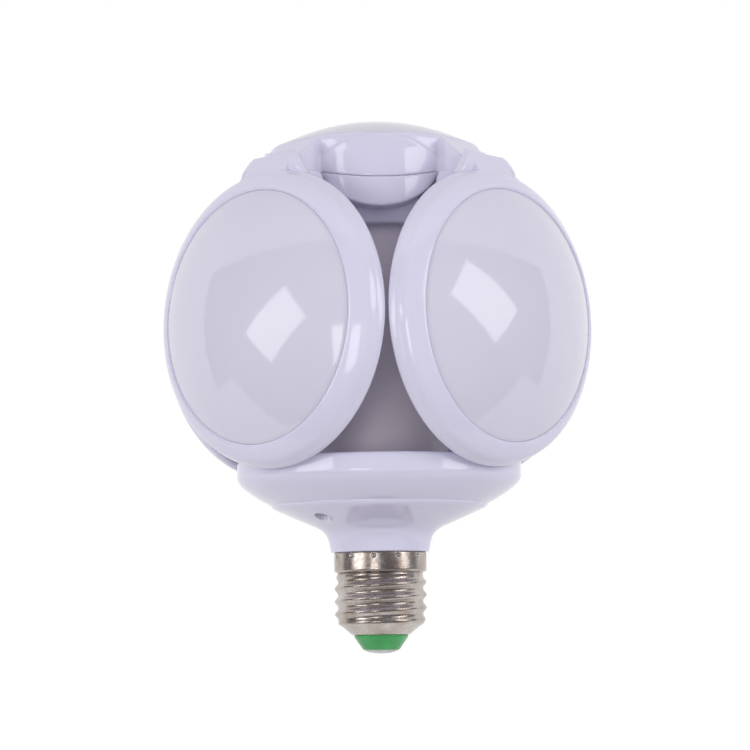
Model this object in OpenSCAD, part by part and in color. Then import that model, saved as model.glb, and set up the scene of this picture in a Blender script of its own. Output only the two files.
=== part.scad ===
// Folding LED lamp with an E27 screw cap: four round leaves hinged to a round
// centre panel, which a column carries above the base. The leaves are drawn
// folded down, into a ball. The origin is on the axis, at the upper rim of the
// cap's skirt; +Z points to the centre panel, and the first leaf lies on +X.

/* [Screw cap] */
// Outer radius of the plain skirt of the cap
cap_r = 13.15; // [12.9:0.05:13.4]
// Length of the plain skirt
skirt_len = 5.9; // [4:0.1:7]
// Length of the threaded stretch
thread_len = 14.4; // [12:0.1:17]
// Pitch of the rounded thread
thread_pitch = 3.629; // [3.4:0.001:3.8]
// Depth of the thread, from crest to root
thread_depth = 1.0; // [0.7:0.05:1.2]
// Sheet thickness of the cap
cap_sheet = 0.35; // [0.25:0.05:0.5]
// Height of the cone that closes the cap
cap_cone_h = 3.1; // [2:0.1:4]
// Radius of the insulator where it leaves the cap
insulator_r = 7.7; // [6.5:0.1:8.5]
// Height of the insulator
insulator_h = 4.2; // [3:0.1:6]
// Radius of the centre contact
contact_r = 5.0; // [4:0.1:5.5]
// Height of the domed centre contact
contact_h = 1.1; // [0.6:0.1:1.5]
// Number of crimp dimples round the skirt
dimples = 12; // [6:1:16]

/* [Base] */
// Radius of the neck at the cap
neck_r = 14; // [13.8:0.1:16]
// Height of the joint between the cone and the bowl
base_seam_z = 13.6; // [13:0.1:15]
// Radius of the base at that joint
base_seam_r = 31; // [30:0.5:33]
// Gap between the base and the flanges of the folded leaves
base_gap = 0.5; // [0.3:0.1:2]
// Height of the base's upper edge
base_top_z = 26; // [25:0.1:30]
// Wall of the base mouldings
base_wall = 1.8; // [1.2:0.1:2.4]
// Distance of the base screws in from the edge of that joint
screw_inset = 8; // [7:0.5:10]

/* [Column] */
// Outer radius of the column
column_r = 20; // [16:0.5:22]
// Wall of the column
column_wall = 2; // [1.4:0.1:3]

/* [Centre panel] */
// Radius of the panel's round wall
panel_r = 32; // [31:0.25:33]
// Width of the rim round the centre diffuser
panel_rim_w = 2.5; // [2:0.1:3.5]
// Depth below the hinge axis of the joint between the panel's two shells
panel_seam_drop = 5.2; // [4.6:0.1:5.6]
// Depth below the hinge axis of the back shell's lower edge
panel_low_drop = 13.5; // [12.6:0.1:14.6]
// Height of the round wall above the hinge axis
panel_crest_rise = 7; // [6.4:0.1:7.4]
// Height above the hinge axis of the lip that holds the centre diffuser
panel_lip_rise = 7.7; // [7.4:0.1:8.4]
// Wall of the panel's shells
panel_wall = 1.8; // [1.4:0.1:2.2]
// Radius of the boss that takes the column
boss_r = 25; // [23:0.5:26]
// Height of the boss between the column and the back shell's edge
boss_h = 3.6; // [2.2:0.1:7]

/* [Hinges] */
// Distance of the hinge axis out from the panel's wall
hinge_reach = 5.4; // [5.2:0.1:5.8]
// Height of the hinge axis above a folded leaf's upper edge
hinge_lift = 3.4; // [3.3:0.05:3.6]
// Half the width of a hinge tongue
tongue_half = 7.5; // [6.5:0.1:8.5]
// Distance from the hinge axis to the tongue's end
tongue_end = 1.8; // [1.6:0.1:2]
// Depth from the hinge axis to the tongue's underside
tongue_drop = 3.6; // [3.2:0.1:3.8]
// Half the width of the knuckle between the tongue's ears
knuckle_half = 2.5; // [2:0.1:3]
// Radius of the knuckle
knuckle_r = 1.7; // [1.5:0.05:1.8]
// Radius of the hinge pin
pin_r = 0.75; // [0.6:0.05:0.85]
// Cover over each end of the hinge pin, inside the tongue
pin_cover = 1.1; // [0.6:0.1:2]

/* [Leaves] */
// Largest radius of a leaf
leaf_r = 41.3; // [38:0.1:45]
// Width of the bezel round a leaf's diffuser
bezel_w = 6.4; // [6:0.1:8.3]
// Gap between neighbouring leaves where they are widest
leaf_gap = 1.1; // [0.9:0.1:2.5]
// Height of a folded leaf's body above the base's upper edge
leaf_rest_gap = 0.9; // [0.5:0.1:1.5]
// Depth from the rim plane to the leaf's flat back
leaf_depth = 17.5; // [15:0.5:19]
// Wall of the leaf's shells
leaf_wall = 1.6; // [1.2:0.1:2]
// Sphere radius of the diffusers
diffuser_sphere = 60; // [55:0.5:75]
// Wall of the diffusers
diffuser_wall = 1.4; // [1:0.1:2]

/* [Light boards] */
// Thickness of the aluminium light boards
board_t = 1.2; // [0.8:0.1:1.6]
// Gap between a leaf's light board and the leaf's wall
leaf_board_gap = 3; // [2.5:0.5:6]
// Gap between the centre light board and the panel's wall
centre_board_gap = 3.1; // [2.1:0.5:6.1]
// Side of a square light-emitting diode
led_side = 2.8; // [2:0.1:3.5]
// Height of a light-emitting diode
led_h = 0.7; // [0.5:0.1:1]
// Diodes on the outer ring of a leaf
leaf_leds = 18; // [8:1:24]
// Diodes on the ring of the centre panel
centre_leds_n = 12; // [6:1:16]

/* [Fits] */
// Gap between pieces that fit together
fit_gap = 0.1; // [0.05:0.01:0.2]
// Running gap of the knuckle on its pin
run_gap = 0.05; // [0.03:0.01:0.1]
// Gap between the leaf and what it folds against
fold_gap = 0.4; // [0.3:0.05:0.6]

/* [Hidden] */
$fn = 96;
LEAF_PARTS = ["front_ring", "back_shell", "diffuser", "light_board", "leds", "screws"];
LEAVES = [1, 2, 3, 4];
ROOT_NODES = [
    "cap_shell", "cap_insulator", "centre_contact", "base_cone", "base_bowl", "base_screws",
    "driver_board", "driver_capacitor", "driver_inductor", "driver_chips", "cap_leads",
    "column_tube", "column_screws", "column_leads", "centre_back_shell", "centre_front_shell",
    "centre_diffuser", "centre_light_board", "centre_leds", "centre_screws"
];

plastic = "#d7d5e8";
frosted = "#d0cfdc";
nickel = "#b9b2a8";
board_white = "#f2f2ee";
cut = 0.01;       // overshoot that keeps cuts clean
big = 200;        // longer than the whole lamp

// Sections of a leaf, by distance from its rim plane
leaf_seam_w = -4.4;                                 // joint between ring and back shell
leaf_wide_w = -7.2;                                 // where the leaf is widest
leaf_flange_w = -8.5;                               // flat back of the flange that clears the base
leaf_board_w = -8.6;
leaf_lip_w = 0.35;                                  // lip that stands round the diffuser
leaf_seam_r = leaf_r - 1;
leaf_body_r = leaf_r - 4.7;
leaf_flat_r = leaf_r - (leaf_depth + leaf_wide_w) - 1;
leaf_dome_r = leaf_r - bezel_w;

// Places of the leaves, the hinges and what they stand off
leaf_h = leaf_r - leaf_wide_w + leaf_gap;           // rim plane of a folded leaf, from the lamp's axis
leaf_z = base_top_z + leaf_rest_gap + leaf_body_r;  // centre of a folded leaf
base_r = leaf_h + leaf_flange_w - base_gap;
hinge_h = panel_r + hinge_reach;
hinge_z = leaf_z + leaf_r + hinge_lift;
panel_seam_z = hinge_z - panel_seam_drop;           // lowest height of the joint between the shells
panel_low_z = hinge_z - panel_low_drop;             // lowest height of the back shell's edge
panel_crest_z = hinge_z + panel_crest_rise;
panel_lip_z = hinge_z + panel_lip_rise;
column_top_z = panel_low_z - boss_h;

// Screw cap
thread_root_r = cap_r - 0.05 - thread_depth;
thread_low_z = -skirt_len - thread_len;
cap_low_z = thread_low_z - cap_cone_h;
insulator_low_z = cap_low_z - insulator_h;
thread_sides = 40;
thread_steps = 8;       // rings for each turn of the thread
thread_runout = 0.7;    // turns over which the thread fades at each end
thread_start = 50;      // angle at which the crest leaves the lower end
spigot_r = cap_r - cap_sheet - fit_gap;
spigot_len = skirt_len - 0.9;
spigot_bore_r = spigot_r - base_wall;
dimple_r = 0.9;
dimple_z = -1.1;
dimple_start = 4.6;     // angle of the first dimple

// Base
deck_z = base_top_z - base_wall;
base_screw_ring = base_seam_r - screw_inset;
screw_r = 1.25;
screw_head_r = 2.4;
screw_head_h = 1.5;
screw_well_r = 2.7;
screw_shank = 7;
board_screw_bite = 5;                               // length of a board screw in its post
base_post_z = base_seam_z + 2;                      // where the posts of cone and bowl meet
base_post_r = screw_well_r + 1.1;
driver_board_z = base_seam_z + 2.6;
driver_board_r = base_screw_ring - base_post_r - 0.5;
driver_board_t = 1.6;
driver_post_ring = driver_board_r - 3;
driver_post_r = 1.8;
lead_r = 0.7;
lead_hole_r = 3;
capacitor_r = 4;
capacitor_h = 13;
capacitor_h_off = capacitor_r + 2;                  // distance of the capacitor from the axis
side_lead_h = spigot_bore_r - 1.9;                  // distance of the side lead from the axis
lead_pitch = 1.6;                                   // distance of each centre lead from the axis

// Column
column_post_r = 2.7;
column_post_ring = column_r - column_wall - column_post_r + 0.6;
column_posts = 3;

// Centre panel
crest_arch_r = 25.5;      // arch radius of the wall's upper edge
belly_arch_r = 19;        // arch radius of the back shell's lower edge
seam_arch_r = 57;         // arch radius of the joint between the shells
panel_dome_r = panel_r - panel_rim_w;
collar_low_r = panel_r - 0.1;
collar_top_r = panel_dome_r + 0.7;
panel_bore_r = panel_dome_r - 1.4;
panel_seat_z = panel_lip_z - 1.8;                   // ledge under the centre diffuser
panel_board_z = panel_lip_z - 8.3;
centre_board_r = panel_bore_r - centre_board_gap;
panel_post_r = 2.6;
panel_posts = 4;
panel_post_ring = centre_board_r - 4;
tongue_low_z = hinge_z - tongue_drop;
tongue_floor_z = tongue_low_z + 1.2;                // floor of the tongues inside the panel
tongue_out_h = hinge_h + tongue_end;
tongue_side_z = hinge_z + 0.6;                      // height of the upright side faces
tongue_in_h = panel_r - 10;
tongue_crown_half = tongue_half - 1.6;
tongue_slope = (panel_lip_z - hinge_z - 0.5) / (tongue_out_h - panel_dome_r);
slot_gap = 0.15;          // gap on each side of the knuckle
slot_in_h = hinge_h - knuckle_r - 0.25;
pin_half = tongue_half - pin_cover;

// Leaves
leaf_board_r = leaf_body_r - leaf_wall - leaf_board_gap;
leaf_post_ring = leaf_board_r - 5;
leaf_post_r = 2.4;
leaf_post_n = 3;
leaf_screw_bite = 4;                                // length of a leaf's board screw in its post
inner_leds = 6;                                     // diodes on the inner ring of each board
inner_led_ring = 7;
leaf_bore_r = leaf_dome_r - 1.4;
diffuser_seat_w = leaf_seam_w + 0.6;
lug_top_z = tongue_low_z - 0.25;
lug_in_r = panel_r + fold_gap;
lug_out_h = leaf_h - 3.4;
lug_out_z = leaf_z + leaf_r - 1.7;
lug_top_half = tongue_half + 1.2;
lug_low_z = lug_top_z - 9;
lug_low_half = lug_top_half + 2;
ridge_in_h = tongue_out_h + 0.5;
ridge_out_h = ridge_in_h + 2.3;
ridge_tip_z = hinge_z + 1.3;

// Ring placed at the leaf, with +Z along the leaf's outward normal
module at_leaf() {
    translate([leaf_h, 0, leaf_z]) rotate([0, 90, 0]) children();
}

// What lies along the hinge axis of the first leaf, centred on the hinge
module at_hinge() {
    translate([hinge_h, 0, hinge_z]) rotate([90, 0, 0]) children();
}

// Copy n of four round the lamp's axis
module turned(n) {
    rotate([0, 0, 90 * (n - 1)]) children();
}

// Copies at equal angles on a ring
module ring_of(n, r, start = 0) {
    for (i = [0 : n - 1]) rotate([0, 0, start + 360 * i / n]) translate([r, 0, 0]) children();
}

// Lying cylinders along both diagonals, whose height falls off towards the leaves
module diagonal_barrels(r, z) {
    for (a = [45, 135]) {
        translate([0, 0, z]) rotate([0, 0, a]) rotate([0, 90, 0]) cylinder(r = r, h = big, center = true);
    }
}

// Profile in (distance from the axis, height), pushed along the hinge direction
module pushed(half) {
    rotate([90, 0, 0]) linear_extrude(height = 2 * half, center = true) children();
}

// Pan-head screw pointing along +Z, its head's seat at the origin
module screw(shank) {
    cylinder(r = screw_r, h = shank);
    translate([0, 0, -screw_head_h]) difference() {
        cylinder(r1 = screw_head_r - 0.5, r2 = screw_head_r, h = screw_head_h);
        for (a = [0, 90]) rotate([0, 0, a]) cube([2.6, 0.6, 1.4], center = true);
    }
}

// ---------------------------------------------------------------- screw cap

// Radius of the rounded thread at one angle and height
function fade(turns) = min(1, max(0, turns / thread_runout));
function thread_at(a, z) =
    let (up = (z - thread_low_z) / thread_pitch, down = (-skirt_len - z) / thread_pitch)
    thread_root_r + thread_depth * (1 + cos(360 * up - a - thread_start)) / 2 * min(fade(up), fade(down));

// Solid rod with the rounded thread
module thread_rod() {
    rings = ceil(thread_len / thread_pitch * thread_steps);
    points = [
        for (k = [0 : rings]) for (i = [0 : thread_sides - 1])
            let (a = 360 * i / thread_sides, z = thread_low_z + thread_len * k / rings, r = thread_at(a, z))
            [r * cos(a), r * sin(a), z]
    ];
    sides = [
        for (k = [0 : rings - 1]) for (i = [0 : thread_sides - 1])
            let (j = (i + 1) % thread_sides, low = k * thread_sides, high = low + thread_sides)
            each [[low + i, high + i, high + j], [low + i, high + j, low + j]]
    ];
    floor_face = [for (i = [0 : thread_sides - 1]) i];
    top_face = [for (i = [thread_sides - 1 : -1 : 0]) rings * thread_sides + i];
    polyhedron(points, concat(sides, [floor_face, top_face]));
}

module cap_shell() color(nickel) {
    difference() {
        union() {
            translate([0, 0, -skirt_len]) cylinder(r = cap_r, h = skirt_len);
            thread_rod();
            translate([0, 0, cap_low_z])
                cylinder(r1 = insulator_r + 0.2, r2 = thread_root_r, h = cap_cone_h + cut);
        }
        translate([0, 0, -skirt_len + cap_sheet]) cylinder(r = cap_r - cap_sheet, h = skirt_len);
        translate([0, 0, thread_low_z]) cylinder(r = thread_root_r - cap_sheet, h = thread_len + skirt_len);
        translate([0, 0, cap_low_z + cap_sheet])
            cylinder(r1 = insulator_r - 0.2, r2 = thread_root_r - cap_sheet, h = cap_cone_h - cap_sheet + cut);
        translate([0, 0, cap_low_z - 1]) cylinder(r = insulator_r - 0.4, h = cap_cone_h);
        translate([0, 0, dimple_z])
            ring_of(dimples, cap_r + 2 * dimple_r / 3, dimple_start) sphere(r = dimple_r, $fn = 24);
    }
}

module cap_insulator() color("#4ba55a") {
    plug_r = insulator_r - 0.4;
    difference() {
        rotate_extrude() polygon([
            [0, cap_low_z + 0.8],
            [plug_r, cap_low_z + 0.8],
            [plug_r, cap_low_z],
            [insulator_r, cap_low_z],
            [insulator_r, cap_low_z - 0.6],
            [contact_r + 0.1, insulator_low_z],
            [0, insulator_low_z]
        ]);
        translate([0, 0, insulator_low_z - 1]) cylinder(r = 1, h = insulator_h + 3);
    }
}

module centre_contact() color("silver") {
    dome_r = (contact_r * contact_r + contact_h * contact_h) / (2 * contact_h);
    edge_a = asin(contact_r / dome_r);
    steps = 8;
    translate([0, 0, insulator_low_z]) rotate_extrude() polygon(concat(
        [[0, 0]],
        [for (k = [steps : -1 : 0]) let (a = edge_a * k / steps)
            [dome_r * sin(a), dome_r - contact_h - dome_r * cos(a)]]
    ));
}

// ---------------------------------------------------------------- base

// Outer side of the cone, from the cap to the joint
cone_side = [
    [neck_r, 0],
    [neck_r + 0.6, base_seam_z - 10.5],
    [neck_r + 1.4, base_seam_z - 8.6],
    [neck_r + 2.9, base_seam_z - 7],
    [neck_r + 6.5, base_seam_z - 5.3],
    [base_seam_r - 2.6, base_seam_z - 1.9],
    [base_seam_r - 0.7, base_seam_z - 0.8],
    [base_seam_r, base_seam_z]
];

// Outer side of the bowl, from the joint to its upper edge
bowl_low_r = base_seam_r + 0.4;
bowl_run = base_r - bowl_low_r;
bowl_side = [
    [bowl_low_r, base_seam_z],
    [bowl_low_r + 0.24 * bowl_run, base_seam_z + 1.4],
    [bowl_low_r + 0.48 * bowl_run, base_seam_z + 2.9],
    [bowl_low_r + 0.675 * bowl_run, base_seam_z + 4.2],
    [bowl_low_r + 0.87 * bowl_run, base_seam_z + 5.6],
    [bowl_low_r + 0.968 * bowl_run, base_seam_z + 6.7],
    [base_r, base_seam_z + 7.8],
    [base_r - 0.3, base_top_z - 1.9],
    [base_r, base_top_z - 0.6],
    [base_r - 0.5, base_top_z]
];

// The same side moved in by a wall and closed to the axis
function moved_in(side, wall) = [for (p = side) [p[0] - wall, p[1]]];
function closed(side) = concat([[0, side[0][1]]], side, [[0, side[len(side) - 1][1]]]);

module base_screw_places() {
    for (a = [90, 270]) rotate([0, 0, a]) translate([base_screw_ring, 0, 0]) children();
}

module base_cone() color(plastic) {
    difference() {
        union() {
            difference() {
                union() {
                    rotate_extrude() polygon(closed(cone_side));
                    translate([0, 0, -spigot_len]) cylinder(r = spigot_r, h = spigot_len + cut);
                }
                translate([0, 0, base_wall / 2])
                    rotate_extrude() polygon(closed(moved_in(cone_side, base_wall * 1.6)));
                translate([0, 0, -spigot_len - 1]) cylinder(r = spigot_bore_r, h = spigot_len + base_seam_z);
            }
            // Posts for the two screws and the driver board, ended by the outer side
            intersection() {
                union() {
                    base_screw_places() cylinder(r = base_post_r, h = base_post_z);
                    ring_of(3, driver_post_ring, 60) cylinder(r = driver_post_r, h = driver_board_z);
                }
                union() {
                    rotate_extrude() polygon(closed(cone_side));
                    translate([0, 0, base_seam_z - cut])
                        cylinder(r = base_seam_r - base_wall - 0.2, h = driver_board_z - base_seam_z + cut);
                }
            }
        }
        base_screw_places() {
            translate([0, 0, -1]) cylinder(r = screw_well_r, h = base_seam_z + 1.5);
            cylinder(r = screw_r + fit_gap, h = base_top_z);
        }
    }
}

module base_bowl() color(plastic) {
    difference() {
        union() {
            difference() {
                rotate_extrude() polygon(closed(bowl_side));
                rotate_extrude() polygon(closed(moved_in(bowl_side, base_wall * 1.5)));
                translate([0, 0, base_seam_z - 1]) cylinder(r = base_seam_r - base_wall, h = 2);
            }
            translate([0, 0, deck_z]) cylinder(r = base_r - base_wall, h = base_wall);
            base_screw_places() translate([0, 0, base_post_z])
                cylinder(r = base_post_r, h = deck_z - base_post_z + cut);
        }
        base_screw_places() translate([0, 0, base_post_z - 1]) cylinder(r = screw_r, h = screw_shank);
        cylinder(r = lead_hole_r, h = big / 2);
        ring_of(column_posts, column_post_ring) cylinder(r = screw_r + fit_gap, h = big / 2);
    }
}

module base_screws() color("silver") {
    base_screw_places() translate([0, 0, base_seam_z + 0.5]) screw(screw_shank);
}

module driver_board() color("#3f7d4c") {
    difference() {
        translate([0, 0, driver_board_z]) cylinder(r = driver_board_r, h = driver_board_t);
        ring_of(2, lead_pitch) cylinder(r = lead_r + fit_gap, h = big / 2);
    }
}

module driver_capacitor() color("#26262c") {
    translate([capacitor_h_off, 0, driver_board_z - capacitor_h]) cylinder(r = capacitor_r, h = capacitor_h);
}

module driver_inductor() color("#b9742f") {
    translate([-10, 0, driver_board_z + driver_board_t]) {
        cylinder(r = 4.2, h = 0.8);
        cylinder(r = 2.6, h = 5);
        translate([0, 0, 4.2]) cylinder(r = 4.2, h = 0.8);
    }
}

module driver_chips() color("#2b2b30") {
    for (p = [[9, -4, 5, 4], [9, 4, 6, 4], [-1, 10, 4, 4], [0, -11, 7, 3]])
        translate([p[0] - p[2] / 2, p[1] - p[3] / 2, driver_board_z + driver_board_t]) cube([p[2], p[3], 1.7]);
}

module cap_leads() color("firebrick") {
    side_low_z = -skirt_len - 1.5;
    // Centre lead, from the contact to the board
    translate([0, 0, insulator_low_z]) cylinder(r = lead_r, h = driver_board_z - insulator_low_z);
    // Side lead, from the wall of the threaded stretch to the board
    translate([-side_lead_h, 0, side_low_z]) {
        cylinder(r = lead_r, h = driver_board_z - side_low_z);
        sphere(r = lead_r);
        rotate([0, -90, 0]) cylinder(r = lead_r, h = thread_root_r - cap_sheet - 0.1 - side_lead_h);
    }
}

// ---------------------------------------------------------------- column

module column_tube() color(plastic) {
    height = column_top_z - base_top_z;
    translate([0, 0, base_top_z]) difference() {
        union() {
            difference() {
                cylinder(r = column_r, h = height);
                translate([0, 0, -1]) cylinder(r = column_r - column_wall, h = height + 2);
            }
            ring_of(column_posts, column_post_ring) cylinder(r = column_post_r, h = height);
        }
        ring_of(column_posts, column_post_ring) {
            translate([0, 0, -1]) cylinder(r = screw_r, h = screw_shank + 1);
            translate([0, 0, height - screw_shank]) cylinder(r = screw_r, h = screw_shank + 1);
        }
    }
}

module column_screws() color("silver") {
    ring_of(column_posts, column_post_ring) {
        translate([0, 0, deck_z]) screw(screw_shank);
        translate([0, 0, column_top_z + panel_wall]) mirror([0, 0, 1]) screw(screw_shank);
    }
}

module column_leads() color("firebrick") {
    low_z = driver_board_z;
    ring_of(2, lead_pitch) translate([0, 0, low_z]) cylinder(r = lead_r, h = panel_board_z - low_z);
}

// ---------------------------------------------------------------- centre panel

// All that lies above the arched joint of the panel's two shells
module above_joint(lift = 0) {
    diagonal_barrels(seam_arch_r, panel_seam_z + seam_arch_r + lift);
}

// Upright profile of a hinge tongue, rounded under its end about the hinge axis
function tongue_profile() = concat(
    [[tongue_in_h, tongue_low_z]],
    [for (a = [0 : 6 : 24]) [hinge_h + tongue_drop * sin(a), hinge_z - tongue_drop * cos(a)]],
    [
        [tongue_out_h, hinge_z - sqrt(tongue_drop * tongue_drop - tongue_end * tongue_end)],
        [tongue_out_h, hinge_z + 0.5],
        [panel_dome_r, hinge_z + 0.5 + tongue_slope * (tongue_out_h - panel_dome_r)],
        [tongue_in_h, panel_lip_z]
    ]
);

// One tongue towards +X: upright sides below, leaning sides above
module tongue() {
    intersection() {
        pushed(tongue_half) polygon(tongue_profile());
        rotate([90, 0, 90]) linear_extrude(height = big / 4) polygon([
            [-tongue_half, tongue_low_z - 1],
            [tongue_half, tongue_low_z - 1],
            [tongue_half, tongue_side_z],
            [tongue_crown_half, panel_lip_z],
            [-tongue_crown_half, panel_lip_z],
            [-tongue_half, tongue_side_z]
        ]);
    }
}

// Slot for the knuckle and blind bore for the pin
module tongue_cuts() {
    slot_half = knuckle_half + slot_gap;
    translate([slot_in_h, -slot_half, tongue_low_z - 1]) cube([big, 2 * slot_half, big]);
    at_hinge() cylinder(r = pin_r, h = 2 * pin_half, center = true);
}

module centre_front_shell() color(plastic) {
    collar_low_z = tongue_side_z - 0.3;
    difference() {
        union() {
            intersection() {
                translate([0, 0, panel_seam_z - 1]) cylinder(r = panel_r, h = panel_lip_z - panel_seam_z + 1);
                diagonal_barrels(crest_arch_r, panel_crest_z - crest_arch_r);
                above_joint();
            }
            translate([0, 0, collar_low_z])
                cylinder(r1 = collar_low_r, r2 = collar_top_r, h = panel_lip_z - collar_low_z);
            for (n = LEAVES) turned(n) tongue();
        }
        translate([0, 0, tongue_floor_z]) cylinder(r = panel_bore_r, h = big);
        translate([0, 0, panel_seat_z]) cylinder(r = panel_dome_r + fit_gap, h = big);
        translate([0, 0, panel_low_z]) difference() {
            cylinder(r = panel_bore_r, h = tongue_floor_z - panel_low_z + cut);
            for (n = LEAVES) turned(n) translate([tongue_in_h, -tongue_half, 0]) cube([big, 2 * tongue_half, big]);
        }
        for (n = LEAVES) turned(n) tongue_cuts();
    }
}

module centre_back_shell() color(plastic) {
    difference() {
        union() {
            intersection() {
                translate([0, 0, panel_low_z - 1]) cylinder(r = panel_r, h = panel_low_drop + 1);
                diagonal_barrels(belly_arch_r, panel_low_z + belly_arch_r);
            }
            translate([0, 0, column_top_z]) cylinder(r = boss_r, h = boss_h + 3);
        }
        above_joint(-fit_gap / 2);
        intersection() {
            translate([0, 0, column_top_z]) cylinder(r = panel_r - panel_wall, h = big);
            diagonal_barrels(belly_arch_r - panel_wall, panel_low_z + belly_arch_r);
        }
        translate([0, 0, column_top_z + panel_wall]) cylinder(r = boss_r - panel_wall, h = boss_h + 2);
        for (n = LEAVES) turned(n)
            translate([tongue_in_h - fit_gap, -tongue_half - fit_gap, tongue_low_z - fit_gap])
                cube([big, 2 * (tongue_half + fit_gap), big]);
        cylinder(r = lead_hole_r, h = big);
        ring_of(column_posts, column_post_ring) cylinder(r = screw_r + fit_gap, h = big);
    }
    // Posts that carry the light board
    post_foot_z = column_top_z + panel_wall - cut;
    ring_of(panel_posts, panel_post_ring, 45) difference() {
        translate([0, 0, post_foot_z]) cylinder(r = panel_post_r, h = panel_board_z - post_foot_z);
        translate([0, 0, panel_board_z - board_screw_bite - 1]) cylinder(r = screw_r, h = board_screw_bite + 2);
    }
}

// Shallow spherical cap on a short upright edge, its edge plane at z = 0
module dome(r, edge) {
    inner_sphere = diffuser_sphere - diffuser_wall;
    steps = 14;
    outer_a = asin(r / diffuser_sphere);
    function cap(sphere, a) = [sphere * sin(a), sphere * cos(a) - diffuser_sphere * cos(outer_a)];
    inner_a = asin((r - diffuser_wall) / inner_sphere);
    rotate_extrude() polygon(concat(
        [for (k = [0 : steps]) cap(diffuser_sphere, outer_a * k / steps)],
        [[r, -edge], [r - diffuser_wall, -edge]],
        [for (k = [steps : -1 : 0]) cap(inner_sphere, inner_a * k / steps)]
    ));
}

module centre_diffuser() color(frosted) {
    translate([0, 0, panel_lip_z]) dome(panel_dome_r, panel_lip_z - panel_seat_z);
}

module centre_light_board() color(board_white) {
    translate([0, 0, panel_board_z]) difference() {
        cylinder(r = centre_board_r, h = board_t);
        translate([0, 0, -1]) ring_of(panel_posts, panel_post_ring, 45) cylinder(r = screw_r + fit_gap, h = 4);
    }
}

module diode() {
    translate([-led_side / 2, -led_side / 2, 0]) cube([led_side, led_side, led_h]);
}

module centre_leds() color("#f3e48a") {
    translate([0, 0, panel_board_z + board_t]) {
        ring_of(centre_leds_n, centre_board_r - 9) diode();
        ring_of(inner_leds, inner_led_ring) diode();
    }
}

module centre_screws() color("silver") {
    ring_of(panel_posts, panel_post_ring, 45)
        translate([0, 0, panel_board_z + board_t]) mirror([0, 0, 1]) screw(board_t + board_screw_bite);
}

module hinge_pin(n) color("silver") {
    turned(n) at_hinge() cylinder(r = pin_r, h = 2 * pin_half, center = true);
}

// ---------------------------------------------------------------- leaves

// Bezel from the lip to the joint with the back shell: a gently crowned band
bezel_side = [
    [leaf_dome_r + fit_gap, leaf_lip_w],
    [leaf_dome_r + 0.7, leaf_lip_w],
    [leaf_dome_r + 2.4, leaf_lip_w - 1.1],
    [leaf_r - 2.1, leaf_lip_w - 2.5],
    [leaf_r - 1.4, leaf_lip_w - 3.3],
    [leaf_seam_r, leaf_seam_w]
];

// Outer side of the back shell: the flange, then the dished body and its flat back
back_side = [
    [leaf_seam_r, leaf_seam_w],
    [leaf_r - 0.3, leaf_seam_w - 1.2],
    [leaf_r, leaf_wide_w],
    [leaf_r - 0.4, leaf_flange_w + 0.4],
    [leaf_r - 1.1, leaf_flange_w],
    [leaf_body_r, leaf_flange_w],
    [leaf_body_r - 0.8, leaf_flange_w - 0.6],
    [leaf_flat_r + 1, 1 - leaf_depth],
    [leaf_flat_r - 1, -leaf_depth]
];

module lug_block() {
    difference() {
        intersection() {
            pushed(tongue_half * 3) polygon([
                [panel_r - 8, lug_low_z],
                [panel_r - 8, lug_top_z],
                [ridge_in_h + 1, lug_top_z],
                [lug_out_h, lug_out_z],
                [lug_out_h, lug_low_z]
            ]);
            rotate([90, 0, 90]) linear_extrude(height = big / 4) polygon([
                [-lug_low_half, lug_low_z],
                [lug_low_half, lug_low_z],
                [lug_top_half, lug_top_z],
                [-lug_top_half, lug_top_z]
            ]);
        }
        translate([0, 0, lug_low_z - 1]) cylinder(r = lug_in_r, h = big);
    }
    // Ridge that wraps the tongue's end
    pushed(tongue_half) polygon([
        [ridge_in_h, lug_top_z - 1],
        [ridge_in_h, hinge_z + 0.2],
        [ridge_in_h + 1.1, ridge_tip_z],
        [ridge_out_h, ridge_tip_z - 0.1],
        [lug_out_h, lug_out_z],
        [lug_out_h, lug_out_z - 1]
    ]);
    // Knuckle and its arm
    pushed(knuckle_half) {
        translate([hinge_h, hinge_z]) circle(r = knuckle_r);
        translate([hinge_h - knuckle_r + 0.2, lug_top_z - 1])
            square([ridge_in_h - hinge_h + knuckle_r, hinge_z - lug_top_z + 1.2]);
    }
}

// The hinge lug, less the room of the front ring and of the leaf's inside
module lug() {
    difference() {
        lug_block();
        at_leaf() rotate_extrude() polygon(closed(bezel_side));
        at_leaf() translate([0, 0, leaf_flange_w - 3]) cylinder(r = leaf_body_r - leaf_wall, h = leaf_depth);
        at_hinge() cylinder(r = pin_r + run_gap, h = big, center = true);
    }
}

module leaf_front_ring() {
    at_leaf() difference() {
        rotate_extrude() polygon(closed(bezel_side));
        translate([0, 0, leaf_seam_w - 1]) cylinder(r = leaf_bore_r, h = leaf_depth);
        translate([0, 0, diffuser_seat_w]) cylinder(r = leaf_dome_r + fit_gap, h = leaf_depth);
    }
}

module leaf_back_shell() {
    post_foot = leaf_wall / 2;
    post_h = leaf_depth + leaf_board_w - board_t - post_foot;
    at_leaf() difference() {
        rotate_extrude() polygon(closed(back_side));
        translate([0, 0, leaf_wall * 0.8]) rotate_extrude() polygon(closed(moved_in(back_side, leaf_wall)));
    }
    lug();
    at_leaf() ring_of(leaf_post_n, leaf_post_ring, 60) translate([0, 0, post_foot - leaf_depth]) difference() {
        cylinder(r = leaf_post_r, h = post_h);
        translate([0, 0, 1]) cylinder(r = screw_r, h = post_h);
    }
}

module leaf_diffuser() {
    at_leaf() dome(leaf_dome_r, -diffuser_seat_w);
}

module leaf_light_board() {
    at_leaf() translate([0, 0, leaf_board_w - board_t]) difference() {
        cylinder(r = leaf_board_r, h = board_t);
        translate([0, 0, -1]) ring_of(leaf_post_n, leaf_post_ring, 60) cylinder(r = screw_r + fit_gap, h = 4);
    }
}

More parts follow.
